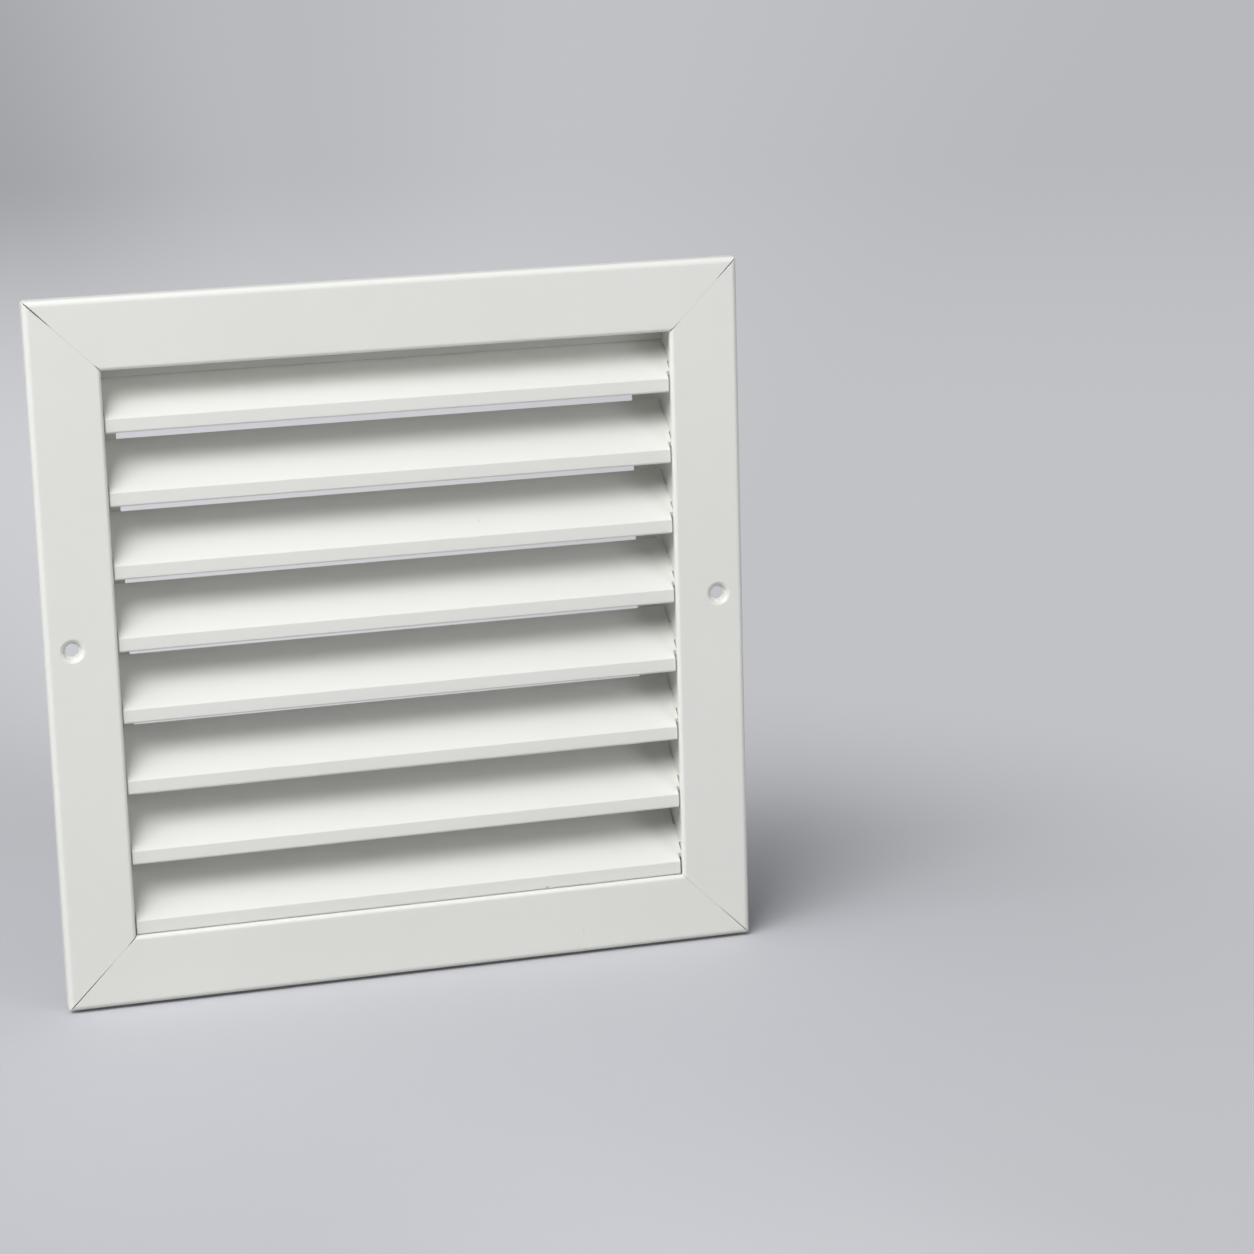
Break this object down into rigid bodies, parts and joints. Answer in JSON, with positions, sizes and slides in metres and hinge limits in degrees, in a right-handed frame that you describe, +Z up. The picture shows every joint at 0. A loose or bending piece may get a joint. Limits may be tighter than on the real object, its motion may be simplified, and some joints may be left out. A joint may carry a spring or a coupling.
{
  "type": "return air grille",
  "caption": "Square white return air grille: mitred flange frame with pressed screw holes, a short neck for the wall opening, and fixed louvre blades sloping up to the rear.",
  "frame": {"origin": "centre of the opening, on the wall plane where the frame's return legs meet the wall", "axes": "+X to the right seen from the room, +Y into the wall along the neck, +Z up"},
  "size_m": [0.25, 0.028, 0.25],
  "materials": {
    "white_powder_coat": "smooth satin white powder coat on aluminium",
    "mill_aluminium": "plain mill finish"
  },
  "bodies": {
    "root": {"frame_top": "white_powder_coat", "frame_bottom": "white_powder_coat", "frame_left": "white_powder_coat", "frame_right": "white_powder_coat", "blade_1": "white_powder_coat", "blade_2": "white_powder_coat", "blade_3": "white_powder_coat", "blade_4": "white_powder_coat", "blade_5": "white_powder_coat", "blade_6": "white_powder_coat", "blade_7": "white_powder_coat", "blade_8": "white_powder_coat", "side_rail_left": "white_powder_coat", "side_rail_right": "white_powder_coat", "top_closing_strip": "white_powder_coat", "corner_key_top_left": "mill_aluminium", "corner_key_top_right": "mill_aluminium", "corner_key_bottom_left": "mill_aluminium", "corner_key_bottom_right": "mill_aluminium", "neck_rivets": "mill_aluminium"}
  },
  "joints": []
}
